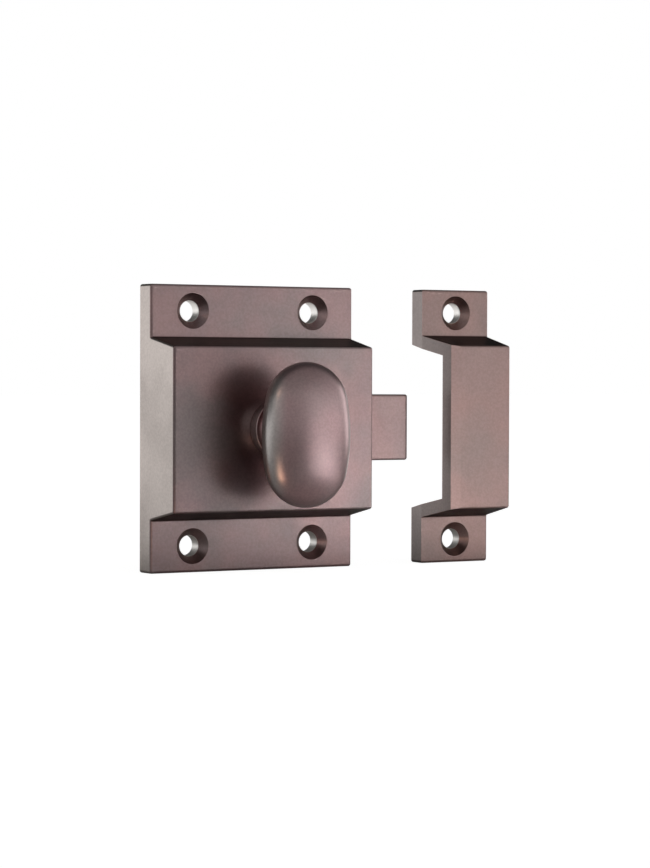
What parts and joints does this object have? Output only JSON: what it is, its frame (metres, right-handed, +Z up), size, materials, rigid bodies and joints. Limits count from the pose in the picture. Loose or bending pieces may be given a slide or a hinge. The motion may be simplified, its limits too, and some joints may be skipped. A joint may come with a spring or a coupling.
{
  "type": "cupboard catch latch",
  "caption": "Cast bronze cupboard latch: eared case, oval turn knob that draws a spring bolt through a hidden cam, and a separate box strike.",
  "frame": {"origin": "middle of the latch's four wood screw holes, on the door's face and on the knob's axis", "axes": "+X from the latch towards the strike, +Y into the door, +Z up"},
  "size_m": [0.0712, 0.0284, 0.0508],
  "materials": {
    "dark_bronze": "oil-rubbed, satin",
    "plain_brass": "as rolled",
    "steel": "bright zinc"
  },
  "bodies": {
    "fixed_case": {"latch_case": "dark_bronze", "back_plate": "plain_brass", "back_plate_screws": "steel", "spring_pin": "steel", "bolt_spring": "steel", "thrust_washer": "plain_brass", "strike": "dark_bronze"},
    "sliding_bolt": {"latch_bolt": "dark_bronze"},
    "turning_knob": {"knob": "dark_bronze", "cam": "plain_brass", "cam_screw": "steel"}
  },
  "joints": [
    {"name": "knob_turn", "type": "hinge", "parent": "fixed_case", "child": "turning_knob", "pos_m": [0, 0, 0], "axis": [0, 1, 0], "range_deg": [0, 70], "stiffness_Nm_per_rad": 0.01715, "springref_deg": -52.5},
    {"name": "bolt_slide", "type": "slide", "parent": "fixed_case", "child": "sliding_bolt", "axis": [-1, 0, 0], "range_m": [0, 0.008], "deforming": ["bolt_spring"]}
  ],
  "couplings": [
    {"joint": "bolt_slide", "follows": "knob_turn", "m_per_rad": 0.006548}
  ]
}
